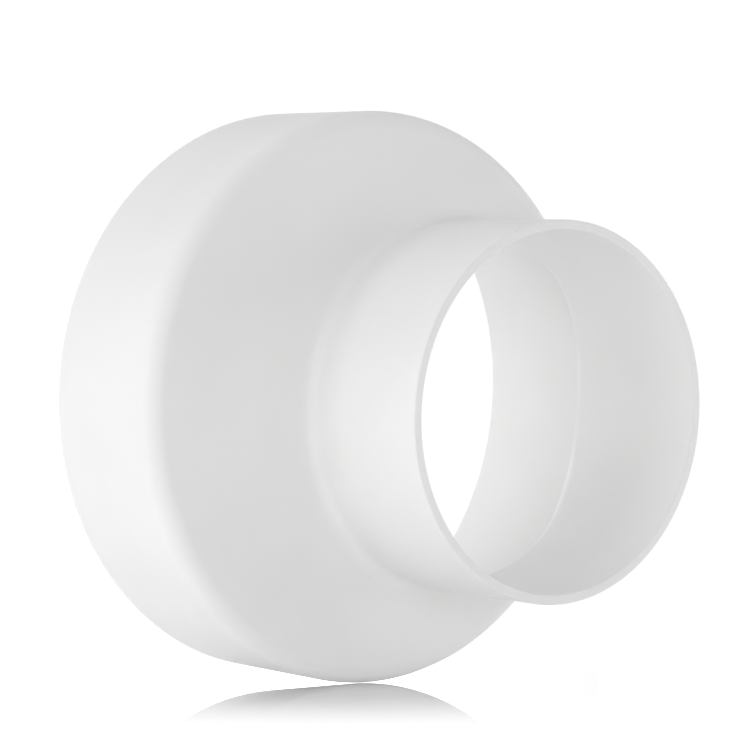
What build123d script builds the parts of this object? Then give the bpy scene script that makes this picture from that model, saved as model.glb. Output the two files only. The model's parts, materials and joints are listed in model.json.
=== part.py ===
from build123d import *
from math import radians, tan
import os

# Eccentric reducer for round ventilation duct, 150 mm to 100 mm nominal.
# White moulded plastic, one wall thickness throughout, open from end to end.
#
# Frame: +X is the flow axis, from the large end towards the small end, and
# both ends are square to it. The origin is on the large end's axis, in the
# plane of the large end's mouth. The small end is set off sideways, towards
# +Y, until its outside nearly lines up with the large end's outside.
# +Z is up with the fitting on its side, as it lies on a bench.

# ---- driving dimensions, mm -------------------------------------------------
large_od = 149.6        # outside of the large end, a push fit in 150 mm duct
small_od = 98.6         # outside of the small end, a push fit in 100 mm duct
wall = 2.6              # wall thickness everywhere
axis_offset = 25.25     # how far the small end's axis is from the large end's
step_face = 40.5        # mouth of the large end to the outer face of the step
total_length = 81.5     # mouth to mouth
shoulder_r = 5.0        # outside radius where the large end turns into the step
neck_r = 3.0            # outside fillet where the step turns into the small end
mouth_edge_r = 0.5      # rounding of both edges of each mouth
root_draft = 0.5        # degrees of draft on the small cylinder's moulded root

# ---- derived ----------------------------------------------------------------
large_r = large_od / 2
small_r = small_od / 2
large_bore_r = large_r - wall
small_bore_r = small_r - wall
inner_shoulder_r = shoulder_r - wall    # same centre as the outside radius
throat_r = neck_r + wall                # same centre as the neck fillet
straight = 2.0          # plain cylinder between each rounding and a joint plane
collar_end = step_face - shoulder_r - straight  # joint plane, large cylinder
spigot_start = step_face + neck_r + straight    # joint plane, small cylinder
past = 6.0              # how far the step's forms run past the joint planes
root_grows = tan(radians(root_draft))   # root radius gained per mm of depth

# Plane square to the flow, facing +X, with its own x towards -Y, so that every
# cylinder's seam lies on the side away from the offset, where nothing meets it.
mouth_plane = Plane(origin=(0, 0, 0), x_dir=(0, -1, 0), z_dir=(1, 0, 0))
small_axis = (-axis_offset, 0)          # the small end's axis in that plane
small_centre_line = Axis((0, axis_offset, 0), (1, 0, 0))


# ---- large collar: the straight cylinder of the large end -------------------
with BuildPart() as large_collar:
    with BuildSketch(mouth_plane):
        Circle(large_r)
        Circle(large_bore_r, mode=Mode.SUBTRACT)
    extrude(amount=collar_end)
    mouth_edges = large_collar.faces().sort_by(Axis.X)[0].edges()
    fillet(mouth_edges, radius=mouth_edge_r)
large_collar.part.label = "large_collar"


# ---- offset step: the flat eccentric wall between the two cylinders ---------
# Its outer form is the end of the large cylinder, rounded over at the
# shoulder, joined to the root of the small cylinder with a fillet. The root
# has a little draft, so that it lets go of the mould; past the joint plane
# the small cylinder is truly straight.
with BuildPart() as step_form:
    with BuildSketch(Plane.XY):
        with BuildLine():
            Polyline(
                (step_face, shoulder_r - large_r),
                (step_face, 0),
                (collar_end - past, 0),
                (collar_end - past, -large_r),
                (step_face - shoulder_r, -large_r),
            )
            RadiusArc(
                (step_face - shoulder_r, -large_r),
                (step_face, shoulder_r - large_r),
                -shoulder_r,
            )
        make_face()
    revolve(axis=Axis.X)
    with BuildSketch(Plane.XY):
        with BuildLine():
            Polyline(
                (collar_end - past, axis_offset),
                (spigot_start + past, axis_offset),
                (spigot_start + past, axis_offset - small_r + past * root_grows),
                (
                    collar_end - past,
                    axis_offset
                    - small_r
                    - (spigot_start - collar_end + past) * root_grows,
                ),
                close=True,
            )
        make_face()
    revolve(axis=small_centre_line)
    fillet(step_form.edges(Select.NEW), radius=neck_r)

# The air space inside it has the same shape, one wall thickness smaller.
with BuildPart() as step_space:
    with BuildSketch(Plane.XY):
        with BuildLine():
            Polyline(
                (step_face - wall, inner_shoulder_r - large_bore_r),
                (step_face - wall, 0),
                (collar_end - 2 * past, 0),
                (collar_end - 2 * past, -large_bore_r),
                (step_face - shoulder_r, -large_bore_r),
            )
            RadiusArc(
                (step_face - shoulder_r, -large_bore_r),
                (step_face - wall, inner_shoulder_r - large_bore_r),
                -inner_shoulder_r,
            )
        make_face()
    revolve(axis=Axis.X)
    with BuildSketch(Plane.XY):
        with BuildLine():
            Polyline(
                (collar_end - 2 * past, axis_offset),
                (spigot_start + 2 * past, axis_offset),
                (
                    spigot_start + 2 * past,
                    axis_offset - small_bore_r + 2 * past * root_grows,
                ),
                (
                    collar_end - 2 * past,
                    axis_offset
                    - small_bore_r
                    - (spigot_start - collar_end + 2 * past) * root_grows,
                ),
                close=True,
            )
        make_face()
    revolve(axis=small_centre_line)
    fillet(step_space.edges(Select.NEW), radius=throat_r)

with BuildPart() as offset_step:
    add(step_form.part)
    add(step_space.part, mode=Mode.SUBTRACT)
    split(bisect_by=mouth_plane.offset(collar_end), keep=Keep.TOP)
    split(bisect_by=mouth_plane.offset(spigot_start), keep=Keep.BOTTOM)
offset_step.part.label = "offset_step"


# ---- small spigot: the straight cylinder of the small end -------------------
with BuildPart() as small_spigot:
    with BuildSketch(mouth_plane.offset(spigot_start)):
        with Locations(small_axis):
            Circle(small_r)
            Circle(small_bore_r, mode=Mode.SUBTRACT)
    extrude(amount=total_length - spigot_start)
    rim_edges = small_spigot.faces().sort_by(Axis.X)[-1].edges()
    fillet(rim_edges, radius=mouth_edge_r)
small_spigot.part.label = "small_spigot"


os.makedirs("parts", exist_ok=True)
export_step(large_collar.part, "parts/large_collar.step")
export_step(offset_step.part, "parts/offset_step.step")
export_step(small_spigot.part, "parts/small_spigot.step")
for piece in (large_collar, offset_step, small_spigot):
    box = piece.part.bounding_box()
    print(piece.part.label, round(piece.part.volume, 1), "mm3", box.min, box.max)
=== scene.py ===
import json
import math

import bpy
import numpy as np
from mathutils import Matrix, Vector


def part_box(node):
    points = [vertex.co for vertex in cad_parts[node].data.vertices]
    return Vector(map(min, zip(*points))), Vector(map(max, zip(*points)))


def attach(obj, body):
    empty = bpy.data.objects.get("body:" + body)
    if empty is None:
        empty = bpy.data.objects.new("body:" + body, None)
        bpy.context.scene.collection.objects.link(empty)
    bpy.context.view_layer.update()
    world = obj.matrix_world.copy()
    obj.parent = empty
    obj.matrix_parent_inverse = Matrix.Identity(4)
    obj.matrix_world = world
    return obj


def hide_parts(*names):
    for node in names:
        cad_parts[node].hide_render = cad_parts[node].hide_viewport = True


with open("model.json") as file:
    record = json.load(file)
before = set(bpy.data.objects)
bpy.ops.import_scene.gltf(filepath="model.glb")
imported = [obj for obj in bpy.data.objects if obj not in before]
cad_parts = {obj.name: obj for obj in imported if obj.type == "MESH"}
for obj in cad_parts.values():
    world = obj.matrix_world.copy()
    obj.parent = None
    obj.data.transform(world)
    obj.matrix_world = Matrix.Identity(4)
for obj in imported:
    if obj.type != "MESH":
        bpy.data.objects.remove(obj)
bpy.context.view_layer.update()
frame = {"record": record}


# ---------------------------------------------------------------------------
# sizes, in metres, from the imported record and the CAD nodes' own boxes
# ---------------------------------------------------------------------------
mounts = {m["name"]: m for m in frame["record"]["mounts"]}
R1 = mounts["large_end_outside"]["dims"]["r_mm"] / 1000     # large end, outside
R2 = mounts["small_end_outside"]["dims"]["r_mm"] / 1000     # small end, outside
WALL = R2 - mounts["small_end_inside"]["dims"]["r_mm"] / 1000
OFFSET = mounts["small_end_outside"]["pos_m"][1]            # of the small axis
COLLAR_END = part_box("large_collar")[1].x
SPIGOT_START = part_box("small_spigot")[0].x
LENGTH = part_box("small_spigot")[1].x
SHOULDER = 0.005        # outside radius at the shoulder
NECK = 0.003            # outside fillet at the neck
STRAIGHT = 0.002        # plain cylinder between each rounding and a joint
EDGE = 0.0005           # rounding of the mouths' edges
STEP_FACE = SPIGOT_START - STRAIGHT - NECK

SPINES = 384            # section lines around the fitting


# ---------------------------------------------------------------------------
# geometry: every piece is a closed wall section carried along section lines.
# The lines leave the small spigot square to it, cross the neck fillet, run
# out over the flat step and over the shoulder, and go down the large collar.
# Points and true surface normals come from the same formulas, so the three
# pieces meet ring to ring with no visible seam.
# ---------------------------------------------------------------------------
def unit(v):
    return v / np.linalg.norm(v, axis=-1, keepdims=True)


def spine_frames():
    """For each section line: where the fillet's ball sits and where it touches."""
    phi = 2 * np.pi * (np.arange(SPINES) + 0.5) / SPINES
    out = np.stack([np.zeros(SPINES), np.cos(phi), np.sin(phi)], 1)
    centre = np.array([0.0, OFFSET, 0.0])
    ball = centre + (R2 + NECK) * out
    d = np.hypot(ball[:, 1], ball[:, 2])
    tube_r = R1 - SHOULDER
    on_flat = d <= tube_r
    reach = np.sqrt(np.maximum((SHOULDER + NECK) ** 2 - (d - tube_r) ** 2, 0))
    ball[:, 0] = np.where(on_flat, STEP_FACE + NECK, STEP_FACE - SHOULDER + reach)
    tube = np.stack(
        [
            np.full(SPINES, STEP_FACE - SHOULDER),
            tube_r * ball[:, 1] / d,
            tube_r * ball[:, 2] / d,
        ],
        1,
    )
    to_tube = unit(tube - ball)
    down = np.array([-1.0, 0.0, 0.0])
    touch_dir = np.where(on_flat[:, None], down, to_tube)
    touch = ball + NECK * touch_dir
    theta = np.arctan2(touch[:, 2], touch[:, 1])
    return phi, out, ball, touch_dir, touch, theta, on_flat


PHI, OUT, BALL, TOUCH_DIR, TOUCH, THETA, ON_FLAT = spine_frames()
RADIAL = np.stack([np.zeros(SPINES), np.cos(THETA), np.sin(THETA)], 1)
X_AXIS = np.array([1.0, 0.0, 0.0])


def outer_step_line():
    """Points and outward normals of the step's outside, from the spigot's
    joint to the collar's joint: arrays of (section line, place on it, xyz)."""
    pts, nrm = [], []

    def put(p, n):
        pts.append(p)
        nrm.append(np.broadcast_to(n, p.shape).copy())

    # the spigot's root: plain cylinder down to the fillet
    root = np.array([0.0, OFFSET, 0.0]) + R2 * OUT
    for t in np.linspace(0, 1, 5)[:-1]:
        p = root.copy()
        p[:, 0] = SPIGOT_START + (BALL[:, 0] - SPIGOT_START) * t
        put(p, OUT)
    # the neck fillet: an arc about the ball's centre
    a, b = -OUT, TOUCH_DIR
    swing = np.arccos(np.clip((a * b).sum(1), -1, 1))[:, None]
    steps = 14
    for i in range(steps + 1):
        t = i / steps
        s = np.sin(swing)
        safe = np.where(s < 1e-6, 1, s)
        arc = np.where(
            s < 1e-6, a, (np.sin((1 - t) * swing) * a + np.sin(t * swing) * b) / safe
        )
        arc = unit(arc)
        put(BALL + NECK * arc, -arc)
    # the flat and the shoulder, by distance along the section line
    tube_r = R1 - SHOULDER
    d0 = np.hypot(TOUCH[:, 1], TOUCH[:, 2])
    start_angle = np.where(
        d0 > tube_r, np.arcsin(np.clip((d0 - tube_r) / SHOULDER, -1, 1)), 0
    )
    s0 = np.where(ON_FLAT | (d0 <= tube_r), d0, tube_r + SHOULDER * start_angle)
    s1, s2 = tube_r, tube_r + SHOULDER * np.pi / 2
    b1 = np.maximum(s1, s0 + 0.12 * (s2 - s0))

    def at(s):
        angle = np.clip((s - s1) / SHOULDER, 0, np.pi / 2)
        d = np.minimum(s, s1) + SHOULDER * np.sin(angle)
        x = STEP_FACE - SHOULDER + SHOULDER * np.cos(angle)
        n = np.cos(angle)[:, None] * X_AXIS + np.sin(angle)[:, None] * RADIAL
        return x[:, None] * X_AXIS + d[:, None] * RADIAL, n

    flats, rounds = 18, 16
    for i in range(1, flats + 1):
        put(*at(s0 + (b1 - s0) * i / flats))
    for i in range(1, rounds + 1):
        put(*at(b1 + (s2 - b1) * i / rounds))
    # down the collar's side to the joint
    for i in range(1, 3):
        x = STEP_FACE - SHOULDER + (COLLAR_END - STEP_FACE + SHOULDER) * i / 2
        put(x * X_AXIS + R1 * RADIAL, RADIAL)
    return np.stack(pts, 1), np.stack(nrm, 1)


def mouth_line(radial, centre, outside, joint_x, mouth_x):
    """A straight tube's wall from its joint out to its mouth, round the two
    edges of the mouth and back to the joint on the inside."""
    way = math.copysign(1.0, mouth_x - joint_x)
    face = way * X_AXIS
    inside = outside - WALL
    pts, nrm = [], []

    def put(x, r, n):
        pts.append(x * X_AXIS + centre + r * radial)
        nrm.append(np.broadcast_to(n, radial.shape).copy())

    runs, turns = 14, 7
    near = mouth_x - way * EDGE
    for i in range(runs):
        put(joint_x + (near - joint_x) * i / runs, outside, radial)
    for i in range(turns + 1):
        a = math.pi / 2 * i / turns
        n = math.cos(a) * radial + math.sin(a) * face
        put(near + way * EDGE * math.sin(a), outside - EDGE + EDGE * math.cos(a), n)
    for i in range(1, 4):
        r = outside - EDGE + (inside - outside + 2 * EDGE) * i / 4
        put(mouth_x, r, face)
    for i in range(turns + 1):
        a = math.pi / 2 * (1 - i / turns)
        n = -math.cos(a) * radial + math.sin(a) * face
        put(near + way * EDGE * math.sin(a), inside + EDGE - EDGE * math.cos(a), n)
    for i in range(1, runs + 1):
        put(near + (joint_x - near) * i / runs, inside, -radial)
    return np.stack(pts, 1), np.stack(nrm, 1)


def wall_mesh(name, pts, nrm, flat_segments):
    """A closed mesh from section loops. flat_segments are the loop's segments
    that are joint faces, given as {segment index: normal}."""
    count, loop = pts.shape[:2]
    index = np.arange(count * loop).reshape(count, loop)
    k, j = np.meshgrid(np.arange(count), np.arange(loop), indexing="ij")
    k2, j2 = (k + 1) % count, (j + 1) % loop
    quads = np.stack([index[k, j], index[k2, j], index[k2, j2], index[k, j2]], -1)
    normals = np.stack([nrm[k, j], nrm[k2, j], nrm[k2, j2], nrm[k, j2]], -2)
    for segment, n in flat_segments.items():
        normals[:, segment] = n
    quads, normals = quads.reshape(-1, 4), normals.reshape(-1, 4, 3)
    verts = pts.reshape(-1, 3)
    a, b, c, d = (verts[quads[:, i]] for i in range(4))
    facing = (np.cross(c - a, d - b) * normals.mean(1)).sum(1)
    if facing.sum() < 0:
        quads, normals = quads[:, ::-1], normals[:, ::-1]
    mesh = bpy.data.meshes.new(name)
    mesh.from_pydata(verts.tolist(), [], quads.tolist())
    mesh.update()
    mesh.shade_smooth()
    mesh.normals_split_custom_set([tuple(n) for n in unit(normals).reshape(-1, 3)])
    piece = bpy.data.objects.new(name, mesh)
    bpy.context.scene.collection.objects.link(piece)
    return piece


centre_small = np.array([0.0, OFFSET, 0.0])
centre_large = np.zeros(3)

step_out, step_nrm = outer_step_line()
step_in = (step_out - WALL * step_nrm)[:, ::-1]
step_pts = np.concatenate([step_out, step_in], 1)
step_normals = np.concatenate([step_nrm, -step_nrm[:, ::-1]], 1)
joint = step_out.shape[1]
step = wall_mesh(
    "offset_step_moulding",
    step_pts,
    step_normals,
    {joint - 1: -X_AXIS, 2 * joint - 1: X_AXIS},
)

collar_pts, collar_nrm = mouth_line(RADIAL, centre_large, R1, COLLAR_END, 0.0)
collar = wall_mesh(
    "large_collar_moulding",
    collar_pts,
    collar_nrm,
    {collar_pts.shape[1] - 1: X_AXIS},
)

spigot_pts, spigot_nrm = mouth_line(OUT, centre_small, R2, SPIGOT_START, LENGTH)
spigot = wall_mesh(
    "small_spigot_moulding",
    spigot_pts,
    spigot_nrm,
    {spigot_pts.shape[1] - 1: -X_AXIS},
)


# ---------------------------------------------------------------------------
# materials
# ---------------------------------------------------------------------------
def node(tree, kind, **values):
    n = tree.nodes.new(kind)
    for key, value in values.items():
        setattr(n, key, value)
    return n


def noise(tree, coords, scale, detail=3.0, rough=0.5):
    n = node(tree, "ShaderNodeTexNoise")
    n.inputs["Scale"].default_value = scale
    n.inputs["Detail"].default_value = detail
    n.inputs["Roughness"].default_value = rough
    tree.links.new(coords, n.inputs["Vector"])
    return n.outputs["Fac"]


def remap(tree, value, lo, hi, to_lo, to_hi, smooth=False):
    n = node(tree, "ShaderNodeMapRange")
    n.interpolation_type = "SMOOTHSTEP" if smooth else "LINEAR"
    n.inputs["From Min"].default_value = lo
    n.inputs["From Max"].default_value = hi
    n.inputs["To Min"].default_value = to_lo
    n.inputs["To Max"].default_value = to_hi
    tree.links.new(value, n.inputs["Value"])
    return n.outputs["Result"]


def maths(tree, operation, a, b=None):
    n = node(tree, "ShaderNodeMath", operation=operation)
    for socket, value in zip(n.inputs, (a, b)):
        if value is None:
            continue
        if isinstance(value, (int, float)):
            socket.default_value = value
        else:
            tree.links.new(value, socket)
    return n.outputs[0]


PLASTIC_LIGHT = (0.872, 0.872, 0.870, 1.0)
PLASTIC_DARK = (0.846, 0.846, 0.843, 1.0)


def white_plastic():
    """White moulded plastic, one material all over. The photograph shows an
    even satin white and nothing finer. The cloud, grain, waviness and the
    rings round the neck are assumed, as a moulding usually has them, and are
    kept too faint to change the colour or the shading seen."""
    m = bpy.data.materials.new("white_plastic")
    m.use_nodes = True
    tree = m.node_tree
    tree.nodes.clear()
    out = node(tree, "ShaderNodeOutputMaterial")
    shader = node(tree, "ShaderNodeBsdfPrincipled")
    tree.links.new(shader.outputs["BSDF"], out.inputs["Surface"])
    coords = node(tree, "ShaderNodeTexCoord").outputs["Object"]

    # the same white all over, with the faintest cloud in it
    cloud = noise(tree, coords, 22.0, 4.0, 0.55)
    tint = node(tree, "ShaderNodeMix", data_type="RGBA")
    tree.links.new(remap(tree, cloud, 0.3, 0.7, 0.0, 1.0, True), tint.inputs[0])
    colours = [socket for socket in tint.inputs if socket.type == "RGBA"]
    colours[0].default_value = PLASTIC_LIGHT
    colours[1].default_value = PLASTIC_DARK
    for socket in tint.outputs:
        if socket.type == "RGBA":
            tree.links.new(socket, shader.inputs["Base Color"])

    patch = noise(tree, coords, 55.0, 5.0, 0.6)
    tree.links.new(remap(tree, patch, 0.3, 0.7, 0.46, 0.56), shader.inputs["Roughness"])
    shader.inputs["IOR"].default_value = 1.49
    shader.inputs["Specular IOR Level"].default_value = 0.5

    # flow rings about the small end's axis, only on the step near the neck
    split = node(tree, "ShaderNodeSeparateXYZ")
    tree.links.new(coords, split.inputs[0])
    y = maths(tree, "SUBTRACT", split.outputs["Y"], OFFSET)
    z = split.outputs["Z"]
    r = maths(
        tree,
        "SQRT",
        maths(
            tree,
            "ADD",
            maths(tree, "MULTIPLY", y, y),
            maths(tree, "MULTIPLY", z, z),
        ),
    )
    wobble = maths(tree, "MULTIPLY", noise(tree, coords, 30.0, 2.0), 0.004)
    rings = maths(
        tree, "SINE", maths(tree, "MULTIPLY", maths(tree, "ADD", r, wobble), 1900.0)
    )
    near_neck = remap(tree, r, R2 + 0.002, R2 + 0.024, 1.0, 0.0, True)
    on_step = remap(
        tree, split.outputs["X"], STEP_FACE - 0.004, STEP_FACE - 0.001, 0.0, 1.0, True
    )
    ring_height = maths(
        tree, "MULTIPLY", rings, maths(tree, "MULTIPLY", near_neck, on_step)
    )

    grain = noise(tree, coords, 2600.0, 2.0, 0.5)
    wave = noise(tree, coords, 36.0, 2.0, 0.4)
    height = maths(
        tree,
        "ADD",
        maths(tree, "MULTIPLY", grain, 0.16),
        maths(
            tree,
            "ADD",
            maths(tree, "MULTIPLY", wave, 1.2),
            maths(tree, "MULTIPLY", ring_height, 0.035),
        ),
    )
    bump = node(tree, "ShaderNodeBump")
    bump.inputs["Strength"].default_value = 0.35
    bump.inputs["Distance"].default_value = 0.0001
    tree.links.new(height, bump.inputs["Height"])
    tree.links.new(bump.outputs["Normal"], shader.inputs["Normal"])
    return m


plastic = white_plastic()
for piece, cad_node in (
    (collar, "large_collar"),
    (step, "offset_step"),
    (spigot, "small_spigot"),
):
    piece.data.materials.append(plastic)
    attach(piece, "root")
    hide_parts(cad_node)


# ---------------------------------------------------------------------------
# floor: a plain white polished sheet. The fitting has tipped a little towards
# its small end and touches the sheet with its shoulder only.
# ---------------------------------------------------------------------------
FLOOR_TILT_X = math.radians(-4.9)
FLOOR_TILT_Y = math.radians(-2.0)
FLOOR_RADIUS = 0.34
SHEEN_FROM = 0.065      # the polish is full up to here, and gone at the reach
SHEEN_REACH = 0.210
FLOOR_GLOW = 0.14
FLOOR_SEEN = 1.03
FLOOR_MIRROR = 0.97

up = Vector((math.sin(FLOOR_TILT_X), math.sin(FLOOR_TILT_Y), 0))
up.z = math.sqrt(1 - up.x ** 2 - up.y ** 2)
all_points = np.concatenate([p.reshape(-1, 3) for p in (step_pts, collar_pts, spigot_pts)])
lowest = all_points[np.argmin(all_points @ np.array(up))]
touch = Vector([float(v) for v in lowest]) - up * 0.00003


def floor_disc():
    rings, spokes = 40, 128
    verts, faces = [(0.0, 0.0, 0.0)], []
    for i in range(1, rings + 1):
        r = FLOOR_RADIUS * (i / rings)
        for s in range(spokes):
            a = 2 * math.pi * s / spokes
            verts.append((r * math.cos(a), r * math.sin(a), 0.0))
    for s in range(spokes):
        faces.append((0, 1 + s, 1 + (s + 1) % spokes))
    for i in range(1, rings):
        a, b = 1 + (i - 1) * spokes, 1 + i * spokes
        for s in range(spokes):
            t = (s + 1) % spokes
            faces.append((a + s, b + s, b + t, a + t))
    mesh = bpy.data.meshes.new("floor")
    mesh.from_pydata(verts, [], faces)
    mesh.update()
    floor = bpy.data.objects.new("floor", mesh)
    bpy.context.scene.collection.objects.link(floor)
    floor.rotation_mode = "QUATERNION"
    floor.rotation_quaternion = Vector((0, 0, 1)).rotation_difference(up)
    floor.location = touch
    return floor


def floor_material():
    """White sheet: a polished patch under the fitting, fading out into an
    evenly lit white that runs into the backdrop."""
    m = bpy.data.materials.new("floor_white")
    m.use_nodes = True
    tree = m.node_tree
    tree.nodes.clear()
    out = node(tree, "ShaderNodeOutputMaterial")
    coords = node(tree, "ShaderNodeTexCoord").outputs["Object"]
    rays = node(tree, "ShaderNodeLightPath")
    # what lights the fitting from below
    white = node(tree, "ShaderNodeBsdfDiffuse")
    white.inputs["Color"].default_value = (0.86, 0.86, 0.86, 1)
    glow = node(tree, "ShaderNodeEmission")
    glow.name = "glow"
    glow.inputs["Strength"].default_value = FLOOR_GLOW
    lit = node(tree, "ShaderNodeAddShader")
    tree.links.new(white.outputs[0], lit.inputs[0])
    tree.links.new(glow.outputs[0], lit.inputs[1])
    # what is seen: the backdrop's own white, polished round the contact
    seen = node(tree, "ShaderNodeEmission")
    seen.inputs["Strength"].default_value = FLOOR_SEEN
    gloss = node(tree, "ShaderNodeBsdfGlossy")
    gloss.inputs["Color"].default_value = (FLOOR_MIRROR, FLOOR_MIRROR, FLOOR_MIRROR, 1)
    gloss.inputs["Roughness"].default_value = 0.0
    length = node(tree, "ShaderNodeVectorMath", operation="LENGTH")
    tree.links.new(coords, length.inputs[0])
    fade = remap(
        tree, length.outputs["Value"], SHEEN_FROM, SHEEN_REACH, 1.0, 0.0, True
    )
    polished = node(tree, "ShaderNodeMixShader")
    tree.links.new(fade, polished.inputs[0])
    tree.links.new(seen.outputs[0], polished.inputs[1])
    tree.links.new(gloss.outputs[0], polished.inputs[2])
    mix = node(tree, "ShaderNodeMixShader")
    tree.links.new(rays.outputs["Is Camera Ray"], mix.inputs[0])
    tree.links.new(lit.outputs[0], mix.inputs[1])
    tree.links.new(polished.outputs[0], mix.inputs[2])
    tree.links.new(mix.outputs[0], out.inputs["Surface"])
    return m


floor = floor_disc()
floor.data.materials.append(floor_material())


# ---------------------------------------------------------------------------
# light: a white studio with large soft boxes
# ---------------------------------------------------------------------------
scene = bpy.context.scene
scene.view_settings.view_transform = "Standard"
scene.view_settings.look = "None"
scene.view_settings.exposure = 0.0
scene.view_settings.gamma = 1.0

middle = Vector((LENGTH / 2, 0.0, 0.0))
AMBIENT = 0.10

world = bpy.data.worlds.new("studio")
scene.world = world
world.use_nodes = True
wt = world.node_tree
wt.nodes.clear()
w_out = node(wt, "ShaderNodeOutputWorld")
backdrop = node(wt, "ShaderNodeBackground")
backdrop.inputs["Color"].default_value = (1, 1, 1, 1)
backdrop.inputs["Strength"].default_value = 1.02
fill = node(wt, "ShaderNodeBackground")
fill.inputs["Color"].default_value = (1, 1, 1, 1)
fill.inputs["Strength"].default_value = AMBIENT
choose = node(wt, "ShaderNodeMixShader")
path = node(wt, "ShaderNodeLightPath")
straight_on = maths(
    wt, "MAXIMUM", path.outputs["Is Camera Ray"], path.outputs["Is Singular Ray"]
)
wt.links.new(straight_on, choose.inputs[0])
wt.links.new(fill.outputs[0], choose.inputs[1])
wt.links.new(backdrop.outputs[0], choose.inputs[2])
wt.links.new(choose.outputs[0], w_out.inputs["Surface"])

# Soft boxes in rings round the fitting: name, bearing in degrees from its near
# side (-Y) towards the small end (+X), height in degrees, distance, width,
# height, watts.
SOFT_BOXES = [
    ("box_behind_left", -90, 5, 1.6, 0.85, 0.9, 7.0),
    ("box_left_behind", -60, 5, 1.6, 0.85, 0.9, 2.4),
    ("box_left", -30, 5, 1.6, 0.85, 0.9, 2.8),
    ("box_side", 0, 5, 1.6, 0.85, 0.9, 8.5),
    ("box_front", 60, 5, 1.6, 0.85, 0.9, 7.2),
    ("box_right", 120, 5, 1.6, 0.85, 0.9, 1.8),
    ("box_far_right", 150, 5, 1.6, 0.85, 0.9, 4.0),
    ("box_back", 180, 5, 1.6, 0.85, 0.9, 4.2),
    ("box_back_left", 210, 5, 1.6, 0.85, 0.9, 4.2),
    ("box_far_left", 240, 5, 1.6, 0.85, 0.9, 4.5),
    ("box_high_left", -60, 45, 1.6, 1.3, 0.9, 2.8),
    ("box_high_side", 0, 45, 1.6, 1.3, 0.9, 3.2),
    ("box_high_right", 120, 45, 1.6, 1.3, 0.9, 3.3),
    ("box_high_back", 180, 45, 1.6, 1.3, 0.9, 2.5),
    ("box_high_back_left", 240, 45, 1.6, 1.3, 0.9, 2.5),
    ("box_overhead", 0, 90, 1.5, 1.2, 1.2, 3.1),
]


def bearing(turn, rise):
    turn, rise = math.radians(turn), math.radians(rise)
    return Vector(
        (
            math.sin(turn) * math.cos(rise),
            -math.cos(turn) * math.cos(rise),
            math.sin(rise),
        )
    )


def soft_box(name, way, distance, width, height, watts):
    data = bpy.data.lights.new(name, "AREA")
    data.shape = "RECTANGLE"
    data.size = width
    data.size_y = height
    data.energy = watts
    lamp = bpy.data.objects.new(name, data)
    way = Vector(way).normalized()
    lamp.location = middle + way * distance
    lamp.rotation_mode = "QUATERNION"
    lamp.rotation_quaternion = way.to_track_quat("Z", "Y")
    lamp.visible_camera = False
    scene.collection.objects.link(lamp)
    return lamp


for name, turn, rise, distance, width, height, watts in SOFT_BOXES:
    soft_box(name, bearing(turn, rise), distance, width, height, watts)

# ---------------------------------------------------------------------------
# camera
# ---------------------------------------------------------------------------
AZIMUTH = math.radians(39.06)
ELEVATION = math.radians(-0.46)
ROLL = math.radians(4.56)
DISTANCE = 0.8495
SLIDE = (0.02280, 0.00436)

back = Vector(
    (
        math.cos(AZIMUTH) * math.cos(ELEVATION),
        -math.sin(AZIMUTH) * math.cos(ELEVATION),
        math.sin(ELEVATION),
    )
)
level = (-back).cross(Vector((0, 0, 1))).normalized()
upright = level.cross(-back)
right = math.cos(ROLL) * level + math.sin(ROLL) * upright
top = -math.sin(ROLL) * level + math.cos(ROLL) * upright

camera_data = bpy.data.cameras.new("camera")
camera_data.sensor_width = 36.0
camera_data.lens = 150.75
camera_data.clip_start = 0.05
camera_data.clip_end = 20.0
camera_data.dof.use_dof = False
camera = bpy.data.objects.new("camera", camera_data)
scene.collection.objects.link(camera)
placed = Matrix((right, top, back)).transposed().to_4x4()
placed.translation = SLIDE[0] * right + SLIDE[1] * top + DISTANCE * back
camera.matrix_world = placed
scene.camera = camera
